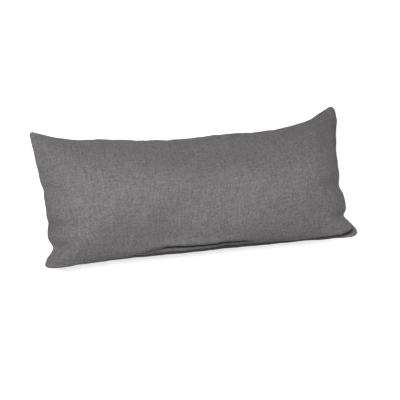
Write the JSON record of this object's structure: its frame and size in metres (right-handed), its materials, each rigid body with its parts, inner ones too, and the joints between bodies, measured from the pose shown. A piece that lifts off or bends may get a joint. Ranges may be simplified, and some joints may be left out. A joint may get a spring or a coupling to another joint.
{
  "type": "outdoor throw pillow",
  "caption": "Long rectangular knife-edge throw pillow of heathered grey woven cloth, plumply filled, with drawn-in sides and standing corners, lying on its back",
  "frame": {"origin": "the middle of the pillow's bounding box, at the height of the surface that its back rests on", "axes": "+X along the long sides, to the right as the picture shows the face; +Y across the face, towards the upper long side; +Z out of the face, up"},
  "size_m": [0.607, 0.2674, 0.1246],
  "materials": {
    "cover_cloth": "matt plain weave of slubbed yarns in mixed warm and neutral greys"
  },
  "bodies": {
    "root": {"pillow": "cover_cloth"}
  },
  "joints": []
}
